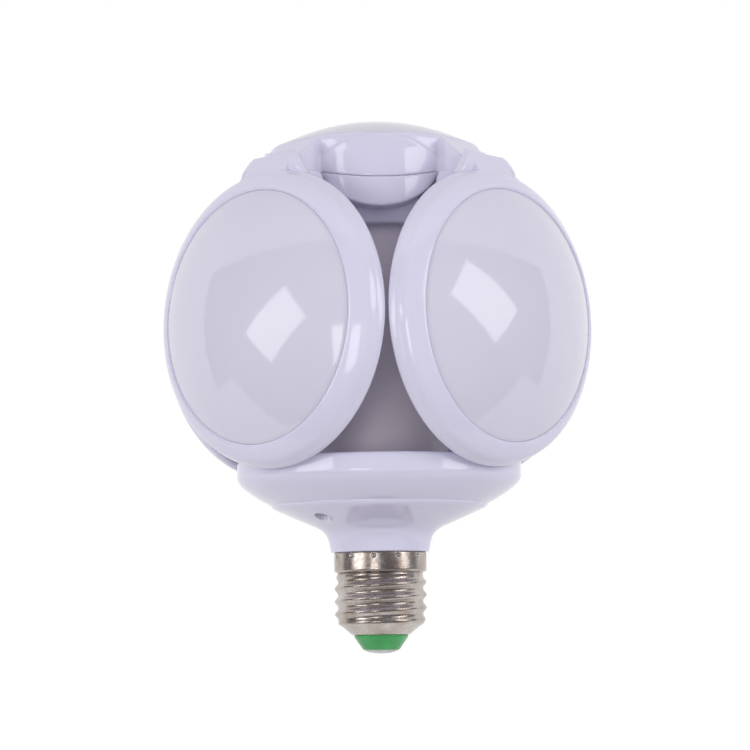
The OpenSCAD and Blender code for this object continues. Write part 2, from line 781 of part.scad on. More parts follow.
module leaf_leds_group() {
    at_leaf() translate([0, 0, leaf_board_w]) {
        ring_of(leaf_leds, leaf_board_r - 10) diode();
        ring_of(inner_leds, inner_led_ring + 2) diode();
    }
}

module leaf_screws() {
    at_leaf() ring_of(leaf_post_n, leaf_post_ring, 60)
        translate([0, 0, leaf_board_w]) mirror([0, 0, 1]) screw(board_t + leaf_screw_bite);
}

// One piece of the leaf numbered n, by the piece's name
module leaf_piece(n, part) {
    turned(n) {
        if (part == "front_ring") color(plastic) leaf_front_ring();
        if (part == "back_shell") color(plastic) leaf_back_shell();
        if (part == "diffuser") color(frosted) leaf_diffuser();
        if (part == "light_board") color(board_white) leaf_light_board();
        if (part == "leds") color("#f3e48a") leaf_leds_group();
        if (part == "screws") color("silver") leaf_screws();
    }
}

cap_shell();
cap_insulator();
centre_contact();
base_cone();
base_bowl();
base_screws();
driver_board();
driver_capacitor();
driver_inductor();
driver_chips();
cap_leads();
column_tube();
column_screws();
column_leads();
centre_back_shell();
centre_front_shell();
centre_diffuser();
centre_light_board();
centre_leds();
centre_screws();
for (n = LEAVES) {
    hinge_pin(n);
    for (p = LEAF_PARTS) leaf_piece(n, p);
}
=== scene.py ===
"""Looks, light and camera of a folding LED lamp with a screw cap."""
import logging
import math
from dataclasses import dataclass
from enum import Enum

import bmesh
import bpy
from mathutils import Matrix, Vector


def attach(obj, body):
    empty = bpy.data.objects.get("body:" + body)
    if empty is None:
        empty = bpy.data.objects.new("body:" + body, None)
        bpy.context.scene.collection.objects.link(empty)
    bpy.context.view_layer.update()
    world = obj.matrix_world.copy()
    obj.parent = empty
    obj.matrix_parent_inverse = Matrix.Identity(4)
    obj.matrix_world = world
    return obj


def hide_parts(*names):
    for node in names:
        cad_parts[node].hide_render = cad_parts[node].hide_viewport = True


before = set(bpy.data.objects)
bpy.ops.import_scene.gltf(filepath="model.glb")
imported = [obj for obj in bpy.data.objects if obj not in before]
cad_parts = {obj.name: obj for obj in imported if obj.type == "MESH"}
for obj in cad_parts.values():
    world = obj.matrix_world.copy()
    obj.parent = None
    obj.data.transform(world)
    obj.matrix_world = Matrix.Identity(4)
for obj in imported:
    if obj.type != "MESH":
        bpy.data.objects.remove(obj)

MM = 0.001
LOG = logging.getLogger("folding_lamp")


def linear(code: str) -> tuple[float, float, float, float]:
    """Turns an sRGB hex code into Blender's linear colour.

    Args:
        code: Six hex digits, such as "d7d5e8".

    Returns:
        Linear red, green, blue and an alpha of 1.
    """
    parts = [int(code[i:i + 2], 16) / 255 for i in (0, 2, 4)]
    return (*[c / 12.92 if c <= 0.04045 else ((c + 0.055) / 1.055) ** 2.4 for c in parts], 1.0)


def add_node(
    tree: bpy.types.NodeTree,
    kind: str,
    settings: dict[str, object] | None = None,
    inputs: dict[str | int, object] | None = None,
) -> bpy.types.Node:
    """Adds one node, with its settings, its input values and its links.

    Args:
        tree: Tree that takes the node.
        kind: Type name of the node.
        settings: Properties of the node.
        inputs: Input sockets by name or number; a socket as the value makes a link.

    Returns:
        The new node.
    """
    node = tree.nodes.new(kind)
    for name, value in (settings or {}).items():
        setattr(node, name, value)
    for name, value in (inputs or {}).items():
        if isinstance(value, bpy.types.NodeSocket):
            tree.links.new(value, node.inputs[name])
        else:
            node.inputs[name].default_value = value
    return node


class Finish:
    """A surface finish that is built once and shared by its pieces."""

    name: str
    slot: str = ""

    def dress(self, tree: bpy.types.NodeTree, shader: bpy.types.Node, place: bpy.types.NodeSocket) -> None:
        """Fills in the shader; each finish has its own way.

        Args:
            tree: Tree of the material.
            shader: The material's main shader.
            place: Object coordinates in metres.
        """
        raise NotImplementedError

    def material(self) -> bpy.types.Material:
        """Builds the material, or returns the one made before.

        Returns:
            The finish's material.
        """
        made = bpy.data.materials.get(self.name)
        if made:
            return made
        made = bpy.data.materials.new(self.name)
        made.use_nodes = True
        tree = made.node_tree
        shader = tree.nodes["Principled BSDF"]
        place = add_node(tree, "ShaderNodeTexCoord").outputs["Object"]
        self.dress(tree, shader, place)
        return made


def ease(low: float, high: float, value: float) -> float:
    """Rises smoothly from 0 at low to 1 at high."""
    part = min(1.0, max(0.0, (value - low) / (high - low)))
    return part * part * (3 - 2 * part)


def mottle(
    tree: bpy.types.NodeTree, place: bpy.types.NodeSocket, patch_mm: float, detail: float = 3.0
) -> bpy.types.NodeSocket:
    """Adds soft noise whose patches have a real size.

    Args:
        tree: Tree that takes the node.
        place: Coordinates in metres.
        patch_mm: Size of a patch in millimetres.
        detail: Octaves of finer noise.

    Returns:
        The noise's value, from 0 to 1.
    """
    settings = {"Vector": place, "Scale": 1 / (patch_mm * MM), "Detail": detail, "Roughness": 0.5}
    return add_node(tree, "ShaderNodeTexNoise", None, settings).outputs["Fac"]


def spread(
    tree: bpy.types.NodeTree, value: bpy.types.NodeSocket, low: float, high: float
) -> bpy.types.NodeSocket:
    """Maps a noise value, mostly between 0.3 and 0.7, onto a range.

    Args:
        tree: Tree that takes the node.
        value: Noise value.
        low: Result at 0.3.
        high: Result at 0.7.

    Returns:
        The mapped value.
    """
    inputs = {"Value": value, "From Min": 0.3, "From Max": 0.7, "To Min": low, "To Max": high}
    return add_node(tree, "ShaderNodeMapRange", {"clamp": True}, inputs).outputs["Result"]


def tint(
    tree: bpy.types.NodeTree, value: bpy.types.NodeSocket, first: str, second: str
) -> bpy.types.NodeSocket:
    """Blends two colours by a value.

    Args:
        tree: Tree that takes the node.
        value: Blend, from 0 to 1.
        first: Hex colour at 0.
        second: Hex colour at 1.

    Returns:
        The blended colour.
    """
    settings = {"data_type": "RGBA", "blend_type": "MIX"}
    node = add_node(tree, "ShaderNodeMix", settings)
    node.inputs[6].default_value = linear(first)
    node.inputs[7].default_value = linear(second)
    tree.links.new(value, node.inputs[0])
    return node.outputs[2]


def relief(
    tree: bpy.types.NodeTree, height: bpy.types.NodeSocket, depth_mm: float, strength: float = 1.0
) -> bpy.types.NodeSocket:
    """Turns a height into a bumped normal.

    Args:
        tree: Tree that takes the node.
        height: Height from 0 to 1.
        depth_mm: Depth of the relief in millimetres.
        strength: Strength of the bump.

    Returns:
        The normal.
    """
    inputs = {"Height": height, "Distance": depth_mm * MM, "Strength": strength}
    return add_node(tree, "ShaderNodeBump", None, inputs).outputs["Normal"]


class Polish(Enum):
    """Polish of a mould, as the roughness that it leaves on the moulding."""

    MIRROR = 0.08
    SATIN = 0.32


@dataclass(frozen=True)
class GlossyAbs(Finish):
    """Injection-moulded ABS from a polished mould."""

    name: str = "moulded_abs_gloss"
    shade: str = "dedced"
    deep: str = "d8d6e8"
    polish: Polish = Polish.MIRROR
    slot: str = "plastic"

    def dress(self, tree: bpy.types.NodeTree, shader: bpy.types.Node, place: bpy.types.NodeSocket) -> None:
        """Polished ABS: a clear gloss over a milky white with a cast of lavender, and the slow
        waviness that a mould leaves, about 9 mm from crest to crest.

        Args:
            tree: Tree of the material.
            shader: The material's main shader.
            place: Object coordinates in metres.
        """
        flow = mottle(tree, place, 24, 2)
        tree.links.new(tint(tree, flow, self.deep, self.shade), shader.inputs["Base Color"])
        gloss = self.polish.value
        rough = spread(tree, mottle(tree, place, 6), gloss - 0.02, gloss + 0.03)
        tree.links.new(rough, shader.inputs["Roughness"])
        tree.links.new(relief(tree, mottle(tree, place, 9, 1), 0.012), shader.inputs["Normal"])
        shader.inputs["IOR"].default_value = 1.54


@dataclass(frozen=True)
class OpalPolycarbonate(Finish):
    """Moulded opal polycarbonate, frosted inside and smooth outside."""

    name: str = "opal_polycarbonate"
    shade: str = "dad9e5"
    deep: str = "d4d3e0"
    roughness: float = 0.07
    slot: str = "diffuser"

    def dress(self, tree: bpy.types.NodeTree, shader: bpy.types.Node, place: bpy.types.NodeSocket) -> None:
        """Opal polycarbonate: a grey-white depth that scatters light, under a skin smooth enough
        to mirror a lamp with sharp edges.

        Args:
            tree: Tree of the material.
            shader: The material's main shader.
            place: Object coordinates in metres.
        """
        haze = mottle(tree, place, 18, 3)
        tree.links.new(tint(tree, haze, self.deep, self.shade), shader.inputs["Base Color"])
        rough = spread(tree, mottle(tree, place, 5), self.roughness - 0.02, self.roughness + 0.03)
        tree.links.new(rough, shader.inputs["Roughness"])
        tree.links.new(relief(tree, mottle(tree, place, 14, 1), 0.01), shader.inputs["Normal"])
        shader.inputs["IOR"].default_value = 1.58


@dataclass(frozen=True)
class NickelPlate(Finish):
    """Nickel-plated brass sheet, rolled and drawn."""

    name: str = "nickel_plated_brass"
    shade: str = "c6c0bd"
    worn: str = "a89a90"
    roughness: float = 0.25
    slot: str = "nickel"

    def dress(self, tree: bpy.types.NodeTree, shader: bpy.types.Node, place: bpy.types.NodeSocket) -> None:
        """Rolled nickel plate: bright bands with a warm brown cast where the brass shows through,
        and drawing lines round the cap, about 0.5 mm apart so that they show.

        Args:
            tree: Tree of the material.
            shader: The material's main shader.
            place: Object coordinates in metres.
        """
        stain = mottle(tree, place, 5, 4)
        colour = tint(tree, spread(tree, stain, 0, 1), self.shade, self.worn)
        tree.links.new(colour, shader.inputs["Base Color"])
        rough = spread(tree, mottle(tree, place, 1.2, 4), self.roughness - 0.06, self.roughness + 0.1)
        tree.links.new(rough, shader.inputs["Roughness"])
        squeeze = add_node(tree, "ShaderNodeMapping", None, {"Vector": place, "Scale": (1, 1, 6)})
        lines = mottle(tree, squeeze.outputs["Vector"], 3, 3)
        tree.links.new(relief(tree, lines, 0.03, 0.6), shader.inputs["Normal"])
        shader.inputs["Metallic"].default_value = 1.0


@dataclass(frozen=True)
class GlassyPlastic(Finish):
    """Pressed thermoset with a gloss, as an insulator or a chip has."""

    name: str
    shade: str
    deep: str
    roughness: float = 0.3
    patch_mm: float = 4.0
    slot: str = ""

    def dress(self, tree: bpy.types.NodeTree, shader: bpy.types.Node, place: bpy.types.NodeSocket) -> None:
        """Pressed plastic: an even body colour with faint flow clouds and a fine grain, drawn at
        0.4 mm so that it shows.

        Args:
            tree: Tree of the material.
            shader: The material's main shader.
            place: Object coordinates in metres.
        """
        cloud = spread(tree, mottle(tree, place, self.patch_mm), 0, 1)
        tree.links.new(tint(tree, cloud, self.deep, self.shade), shader.inputs["Base Color"])
        rough = spread(tree, mottle(tree, place, 1.5), self.roughness - 0.05, self.roughness + 0.08)
        tree.links.new(rough, shader.inputs["Roughness"])
        tree.links.new(relief(tree, mottle(tree, place, 0.4), 0.01, 0.5), shader.inputs["Normal"])
        shader.inputs["IOR"].default_value = 1.5


@dataclass(frozen=True)
class BareMetal(Finish):
    """Plated or bare metal with a fine brushed or cast grain."""

    name: str
    shade: str
    deep: str
    roughness: float = 0.3
    grain_mm: float = 0.6
    slot: str = ""

    def dress(self, tree: bpy.types.NodeTree, shader: bpy.types.Node, place: bpy.types.NodeSocket) -> None:
        """Metal: a soft mirror broken by clouds of oxide and a fine grain.

        Args:
            tree: Tree of the material.
            shader: The material's main shader.
            place: Object coordinates in metres.
        """
        cloud = spread(tree, mottle(tree, place, 3), 0, 1)
        tree.links.new(tint(tree, cloud, self.shade, self.deep), shader.inputs["Base Color"])
        grain = mottle(tree, place, self.grain_mm)
        rough = spread(tree, grain, self.roughness - 0.08, self.roughness + 0.1)
        tree.links.new(rough, shader.inputs["Roughness"])
        tree.links.new(relief(tree, grain, 0.01, 0.5), shader.inputs["Normal"])
        shader.inputs["Metallic"].default_value = 1.0


@dataclass(frozen=True)
class CopperWinding(Finish):
    """Enamelled copper wire wound side by side."""

    name: str = "enamelled_copper_winding"
    shade: str = "c07838"
    deep: str = "8a4a1e"
    wire_mm: float = 0.6

    def dress(self, tree: bpy.types.NodeTree, shader: bpy.types.Node, place: bpy.types.NodeSocket) -> None:
        """Wound wire, one turn every 0.6 mm, painted lighter on each turn's crest and darker in the groove
        between turns: a painted sheen and painted shade that follow the bump.

        Args:
            tree: Tree of the material.
            shader: The material's main shader.
            place: Object coordinates in metres.
        """
        scale = 1 / (self.wire_mm * MM) * math.pi / 10
        turns = add_node(tree, "ShaderNodeTexWave", {"wave_type": "BANDS", "bands_direction": "Z"},
                         {"Vector": place, "Scale": scale, "Distortion": 0.3})
        # The colour follows the turns' height: painted shade in the grooves, painted sheen on the crests.
        tree.links.new(tint(tree, turns.outputs["Fac"], self.deep, self.shade), shader.inputs["Base Color"])
        tree.links.new(relief(tree, turns.outputs["Fac"], 0.2), shader.inputs["Normal"])
        shader.inputs["Roughness"].default_value = 0.28
        shader.inputs["IOR"].default_value = 1.6


# Outer mouldings: milky lavender white with a clear gloss.
ABS = GlossyAbs()
# Column, from a matt mould, in painted light: a paler, warmer white than the other ABS that stands in for the
# warm bounce light it gets in the shade between the leaves.
COLUMN_ABS_PAINTED_BOUNCE = GlossyAbs("moulded_abs_satin_painted_bounce", "f6eef2", "efe6ec", Polish.SATIN)
# Domes: grey-white depth under a smooth skin.
OPAL = OpalPolycarbonate()
# Cap: bright bands with brown stains.
NICKEL = NickelPlate()
# Cone under the cap: even clear green with a soft shine.
INSULATOR = GlassyPlastic("green_pressed_insulator", "48ad5e", "3f9c54", 0.26, slot="insulator")
# Contact: a dull grey drop of solder.
SOLDER = BareMetal("tin_solder", "c9cac8", "a9aaa8", 0.32, 0.8, slot="contact")
# Screws and pins: cool grey with a fine grain.
ZINC = BareMetal("zinc_plated_steel", "c6c8cc", "9fa2a8", 0.3)
# Light boards: white lacquer that throws the light back.
MASK = GlassyPlastic("white_solder_mask", "f2f2ee", "e9e9e4", 0.42, 9)
# Diodes: yellow silicone with the phosphor in it.
PHOSPHOR = GlassyPlastic("phosphor_silicone", "f3e27c", "e8d25c", 0.35, 1.2)
# Driver board: green laminate.
LAMINATE = GlassyPlastic("glass_epoxy_laminate", "3f7d4c", "35693f", 0.35, 3)
# Capacitor sleeve and chips: near black.
SLEEVE = GlassyPlastic("black_epoxy_and_sleeve", "26262c", "1d1d22", 0.4, 3)
# Inductor: lacquered wire, painted lighter on the turns and darker between them, as painted sheen and painted
# shade.
COPPER = CopperWinding()
# Leads: red, slightly waxy.
LEAD = GlassyPlastic("pvc_insulated_lead", "b02a24", "9a211d", 0.38, 2)


def linked(name: str, mesh: bmesh.types.BMesh) -> bpy.types.Object:
    """Puts a mesh, which is freed, into a new object of the scene.

    Args:
        name: Name of the object.
        mesh: Mesh to use.

    Returns:
        The new object.
    """
    data = bpy.data.meshes.new(name)
    mesh.to_mesh(data)
    mesh.free()
    made = bpy.data.objects.new(name, data)
    bpy.context.scene.collection.objects.link(made)
    return made


def gather(mesh: bmesh.types.BMesh, part: bmesh.types.BMesh) -> None:
    """Adds a part, which is freed, to a mesh.

    Args:
        mesh: Mesh that takes the part.
        part: Mesh of the part.
    """
    data = bpy.data.meshes.new("part")
    part.to_mesh(data)
    part.free()
    mesh.from_mesh(data)
    bpy.data.meshes.remove(data)


class Moulding:
    """Mesh tools shared by the lamp's sub-assemblies."""

    def spun(
        self, profile: list[tuple[float, float]], steps: int, soft: dict[int, float] | None = None
    ) -> bmesh.types.BMesh:
        """Spins a closed or open profile round Z.

        Args:
            profile: Points (radius, height) in millimetres; a closed profile repeats its first point.
            steps: Steps of the full turn.
            soft: Radius in millimetres of the rounding of some corners, by the point's number.

        Returns:
            The spun mesh, with its seam closed and its faces outward.
        """
        mesh = bmesh.new()
        closed = profile[0] == profile[-1]
        points = profile[:-1] if closed else profile
        corners = [mesh.verts.new((r * MM, 0, z * MM)) for r, z in points]
        for first, second in zip(corners, corners[1:] + corners[:1] if closed else corners[1:]):
            mesh.edges.new((first, second))
        for number, radius in (soft or {}).items():
            bmesh.ops.bevel(mesh, geom=[corners[number]], offset=radius * MM, offset_type="OFFSET",
                            segments=5, profile=0.5, affect="VERTICES", material=-1)
        bmesh.ops.spin(mesh, geom=mesh.verts[:] + mesh.edges[:], cent=(0, 0, 0), axis=(0, 0, 1),
                       dvec=(0, 0, 0), angle=math.tau, steps=steps, use_merge=True)
        bmesh.ops.remove_doubles(mesh, verts=mesh.verts, dist=1e-6)
        bmesh.ops.recalc_face_normals(mesh, faces=mesh.faces)
        return mesh

    def finished(
        self,
        name: str,
        mesh: bmesh.types.BMesh,
        body: str,
        finish: Finish,
        stands_for: list[str],
        sharp: float = 32,
    ) -> bpy.types.Object:
        """Turns a mesh into a dressed piece that rides on a body.

        Args:
            name: Name of the piece.
            mesh: Mesh, which is freed.
            body: Body that carries the piece.
            finish: Finish of the piece.
            stands_for: CAD nodes that the piece replaces.
            sharp: Angle in degrees past which an edge stays sharp.

        Returns:
            The new object.
        """
        piece = linked(name, mesh)
        data = piece.data
        data.shade_smooth()
        data.set_sharp_from_angle(angle=math.radians(sharp))
        data.materials.append(finish.material())
        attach(piece, body)
        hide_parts(*stands_for)
        LOG.info("%s: %d faces on %s", name, len(data.polygons), body)
        return piece

    def copied(self, node: str) -> bmesh.types.BMesh:
        """Copies the mesh of a CAD node.

        Args:
            node: Name of the node.

        Returns:
            The copy, with its doubles merged.
        """
        mesh = bmesh.new()
        mesh.from_mesh(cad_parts[node].data)
        bmesh.ops.remove_doubles(mesh, verts=mesh.verts, dist=2e-6)
        return mesh

    def moulded(self, mesh: bmesh.types.BMesh, voxel_mm: float, rounds: int) -> bmesh.types.BMesh:
        """Melts the bodies of a mesh into one skin with the small fillets that a mould gives.

        Args:
            mesh: Closed bodies, which may overlap.
            voxel_mm: Size of the remesh cells in millimetres.
            rounds: Rounds of smoothing; each widens the fillets.

        Returns:
            The same mesh with the new skin.
        """
        bmesh.ops.recalc_face_normals(mesh, faces=mesh.faces)
        data = bpy.data.meshes.new("raw_moulding")
        mesh.to_mesh(data)
        raw = bpy.data.objects.new("raw_moulding", data)
        bpy.context.scene.collection.objects.link(raw)
        remesh = raw.modifiers.new("even_skin", "REMESH")
        remesh.mode = "VOXEL"
        remesh.voxel_size = voxel_mm * MM
        relax = raw.modifiers.new("mould_fillets", "SMOOTH")
        relax.factor = 0.5
        relax.iterations = rounds
        skin = bpy.data.meshes.new_from_object(raw.evaluated_get(bpy.context.evaluated_depsgraph_get()))
        mesh.clear()
        mesh.from_mesh(skin)
        bpy.data.objects.remove(raw)
        bpy.data.meshes.remove(data)
        bpy.data.meshes.remove(skin)
        return mesh

    def loft(self, mesh: bmesh.types.BMesh, rings: list[list[tuple[float, float, float]]]) -> None:
        """Adds a closed body over a row of rings.

        Args:
            mesh: Mesh that takes the body.
            rings: Rings of points in millimetres, all with the same count.
        """
        rows = [[mesh.verts.new(Vector(point) * MM) for point in ring] for ring in rings]
        for low, high in zip(rows, rows[1:]):
            for k in range(len(low)):
                mesh.faces.new((low[k - 1], low[k], high[k], high[k - 1]))
        mesh.faces.new(rows[0])
        mesh.faces.new(rows[-1])

    def apply_all(self, piece: bpy.types.Object) -> None:
        """Puts the result of all modifiers into the piece's mesh.

        Args:
            piece: Object whose modifiers are applied.
        """
        shown = piece.evaluated_get(bpy.context.evaluated_depsgraph_get())
        data = bpy.data.meshes.new_from_object(shown)
        old = piece.data
        piece.modifiers.clear()
        piece.data = data
        data.name = old.name
        bpy.data.meshes.remove(old)


@dataclass
class ScrewCap(Moulding):
    """E27 cap: skirt, rolled thread, closing cone, insulator and contact."""

    body: str = "lamp_body"
    radius: float = 13.15
    skirt: float = 5.9
    thread: float = 14.4
    pitch: float = 3.629
    depth: float = 1.0
    cone: float = 3.1
    insulator_r: float = 7.7
    insulator_h: float = 4.2
    contact_r: float = 5.0
    contact_h: float = 1.1
    thread_start: float = 50.0
    runout: float = 0.7
    wave: int = 14
    dimples: int = 12
    dimple_r: float = 0.62
    dimple_z: float = -1.1
    dimple_start: float = 4.6
    steps: int = 120

    def shell(self) -> bmesh.types.BMesh:
        """Builds the sheet: the skirt's hem, the rolled thread by a rising spin, and the cone.

        Returns:
            The cap's mesh.
        """
        top, low = -self.skirt, -self.skirt - self.thread
        root = self.radius - 0.05 - self.depth
        mesh = bmesh.new()
        first_z = low - self.pitch * (2 - self.thread_start / 360)
        points = [
            mesh.verts.new((
                (root + self.depth * (0.5 + 0.5 * math.cos(math.tau * k / self.wave)) ** 1.15) * MM,
                0,
                (first_z + self.pitch * k / self.wave) * MM))
            for k in range(self.wave + 1)
        ]
        for first, second in zip(points, points[1:]):
            mesh.edges.new((first, second))
        turns = math.ceil(self.thread / self.pitch) + 3
        bmesh.ops.spin(mesh, geom=mesh.verts[:] + mesh.edges[:], cent=(0, 0, 0), axis=(0, 0, 1),
                       dvec=(0, 0, self.pitch * MM / self.steps), angle=math.tau * turns,
                       steps=self.steps * turns)
        bmesh.ops.remove_doubles(mesh, verts=mesh.verts, dist=2e-6)
        for height, outward in ((low, (0, 0, -1)), (top, (0, 0, 1))):
            everything = mesh.verts[:] + mesh.edges[:] + mesh.faces[:]
            bmesh.ops.bisect_plane(mesh, geom=everything, dist=1e-7, plane_co=(0, 0, height * MM),
                                   plane_no=outward, clear_outer=True)
        for vert in mesh.verts:
            flat = Vector((vert.co.x, vert.co.y, 0))
            rise = min(vert.co.z / MM - low, top - vert.co.z / MM) / (self.runout * self.pitch)
            keep = min(1.0, max(0.0, rise)) ** 0.7
            size = root + (flat.length / MM - root) * keep
            vert.co.xy = flat.xy * (size * MM / flat.length)
        bmesh.ops.recalc_face_normals(mesh, faces=mesh.faces)
        r = self.radius
        rows = [(r, -0.1 * row) for row in (22, 19, 17, 15, 13, 11, 9, 7, 5)]
        skirt = self.spun([
            (root, top), (root + 0.25, top + 0.1), (r - 0.25, top + 0.4), (r - 0.04, top + 0.66),
            (r, top + 0.85), (r, top + 1.15), *rows,
            (r - 0.04, -0.25), (r - 0.14, -0.07), (r - 0.4, -0.02), (r - 0.5, -0.5)], self.steps)
        cone = self.spun([
            (self.insulator_r - 0.35, low - self.cone + 0.25), (self.insulator_r + 0.05, low - self.cone),
            (self.insulator_r + 0.6, low - self.cone + 0.12), (root - 1.2, low - 0.75),
            (root - 0.25, low - 0.2), (root, low)], self.steps)
        for part in (skirt, cone):
            gather(mesh, part)
        return mesh

    def build(self) -> None:
        """Builds the cap's pieces and dresses them."""
        sheet = self.finished("cap_sheet", self.shell(), self.body, NICKEL, ["cap_shell"], 60)
        self.crimp(sheet)
        low = -self.skirt - self.thread - self.cone
        body = self.spun([
            (0, low + 0.8), (self.insulator_r - 0.4, low + 0.8), (self.insulator_r - 0.4, low + 0.02),
            (self.insulator_r, low - 0.02), (self.insulator_r, low - 0.5),
            (self.contact_r + 0.25, low - self.insulator_h + 0.1), (self.contact_r, low - self.insulator_h),
            (0, low - self.insulator_h)], 96, {3: 0.12, 4: 0.25, 5: 0.12})
        self.finished("cap_insulator_cone", body, self.body, INSULATOR, ["cap_insulator"])
        base = low - self.insulator_h
        count = 7
        arc = [(self.contact_r * math.sin(math.pi / 2 * k / count),
                base - self.contact_h * math.cos(math.pi / 2 * k / count) ** 1.4) for k in range(count + 1)]
        contact = self.spun([*arc, (self.contact_r - 0.1, base), (0, base)], 72)
        self.finished("cap_contact_disc", contact, self.body, SOLDER, ["centre_contact"])

    def crimp(self, sheet: bpy.types.Object) -> None:
        """Presses the crimp dimples into the skirt.

        Args:
            sheet: The cap's sheet.
        """
        near_mm, fine_mm, press_mm, skirt_low, fade = 1.1, 0.16, 0.42, -2.6, 1.3
        work = bmesh.new()
        work.from_mesh(sheet.data)
        centres = []
        for number in range(self.dimples):
            angle = math.radians(self.dimple_start + 360 * number / self.dimples)
            flat = Vector((math.cos(angle), math.sin(angle), 0)) * self.radius
            centres.append((flat + Vector((0, 0, self.dimple_z))) * MM)
        # An edge counts by its middle, because which of its ends comes first differs from run to run.
        for _ in range(3):
            near = [
                e for e in work.edges
                if e.calc_length() > fine_mm * MM
                and any(((e.verts[0].co + e.verts[1].co) / 2 - c).length < near_mm * MM for c in centres)
            ]
            if not near:
                break
            bmesh.ops.subdivide_edges(work, edges=near, cuts=1, use_grid_fill=True)
        for vert in work.verts:
            if vert.co.z < skirt_low * MM:
                continue
            for centre in centres:
                gap = (vert.co - centre).length / (self.dimple_r * MM)
                if gap < fade:
                    push = press_mm * MM * (0.5 + 0.5 * math.cos(math.pi * gap / fade))
                    flat = Vector((vert.co.x, vert.co.y, 0))
                    vert.co -= flat.normalized() * push
        work.to_mesh(sheet.data)
        work.free()


@dataclass
class Base(Moulding):
    """Cone and bowl of the base, with their screws and the driver inside."""

    body: str = "lamp_body"
    neck: float = 14.0
    seam_z: float = 13.6
    seam_r: float = 31.0
    rim_r: float = 40.6
    top_z: float = 26.0
    wall: float = 1.8
    screw_ring: float = 23.0
    well_r: float = 2.7

    def cone(self) -> bmesh.types.BMesh:
        """Builds the cone, from the neck in the cap to the joint with the bowl.

        Returns:
            The cone's mesh.
        """
        n, r, z = self.neck, self.seam_r, self.seam_z
        outer = [
            (12.6, -5.0), (12.6, 0.0), (n - 0.25, 0.0), (n, 0.2), (n + 0.25, 1.4), (n + 0.56, 2.9),
            (n + 0.95, 4.2), (n + 1.5, 5.2), (n + 2.35, 6.1), (n + 3.5, 6.9), (n + 5.1, 7.65),
            (n + 7.5, 8.65), (n + 10.9, 10.1), (n + 14.2, 11.6), (r - 1.0, z - 1.2), (r - 0.44, z - 0.8),
            (r - 0.12, z - 0.45), (r, z - 0.14), (r - 0.01, z)]
        inner = [(r - 2.2, z), (r - 3.4, z - 0.2), (n + 6, 10.5), (n - 1.2, 7.6), (10.9, 3.6), (10.9, -5.0)]
        return self.spun([*outer, *inner, outer[0]], 144)

    def bowl(self) -> bmesh.types.BMesh:
        """Builds the bowl, from the joint to its upper edge and across its deck.

        Returns:
            The bowl's mesh.
        """
        r, z, rim, top = self.seam_r, self.seam_z, self.rim_r, self.top_z
        outer = [
            (r - 2.0, z + 0.01), (r + 0.02, z + 0.01), (r + 0.22, z + 0.1), (rim - 7.0, z + 1.35),
            (rim - 4.8, z + 2.75), (rim - 3.05, z + 4.0), (rim - 1.95, z + 4.85), (rim - 1.15, z + 5.6),
            (rim - 0.6, z + 6.3), (rim - 0.28, z + 6.82), (rim - 0.1, z + 7.2), (rim - 0.03, z + 7.5),
            (rim - 0.02, z + 7.7), (rim - 0.02, z + 8.0), (rim - 0.02, top - 1.4), (rim - 0.02, top - 1.0),
            (rim - 0.05, top - 0.72), (rim - 0.18, top - 0.34), (rim - 0.42, top - 0.1), (rim - 0.75, top),
            (20.2, top)]
        inner = [(20.2, top - self.wall), (rim - 3, top - self.wall), (rim - 3, z + 8), (rim - 7, z + 3.6),
                 (r - 2, z + 1.5)]
        return self.spun([*outer, *inner, outer[0]], 160)

    def build(self) -> None:
        """Builds the base's pieces and dresses them."""
        cone = self.finished("base_cone_moulding", self.cone(), self.body, ABS, ["base_cone"])
        for side in (1, -1):
            self.drill(cone, Vector((0, side * self.screw_ring, 0)))
        self.finished("base_bowl_moulding", self.bowl(), self.body, ABS, ["base_bowl"])
        dress(ZINC, "base_screws")
        dress(LAMINATE, "driver_board")
        dress(SLEEVE, "driver_capacitor", "driver_chips")
        dress(COPPER, "driver_inductor")
        dress(LEAD, "cap_leads", "column_leads")

    def drill(self, cone: bpy.types.Object, centre: Vector) -> None:
        """Sinks a screw well into the cone.

        Args:
            cone: The cone.
            centre: Place of the well's axis in millimetres.
        """
        length, middle_z = 17, 5
        mesh = bmesh.new()
        bmesh.ops.create_cone(mesh, cap_ends=True, segments=48, radius1=self.well_r * MM,
                              radius2=self.well_r * MM, depth=length * MM)
        bmesh.ops.translate(mesh, verts=mesh.verts, vec=(centre + Vector((0, 0, middle_z))) * MM)
        tool = linked("well_tool", mesh)
        cut = cone.modifiers.new("well", "BOOLEAN")
        cut.operation = "DIFFERENCE"
        cut.solver = "EXACT"
        cut.object = tool
        self.apply_all(cone)
        bpy.data.objects.remove(tool)
        cone.data.set_sharp_from_angle(angle=math.radians(32))


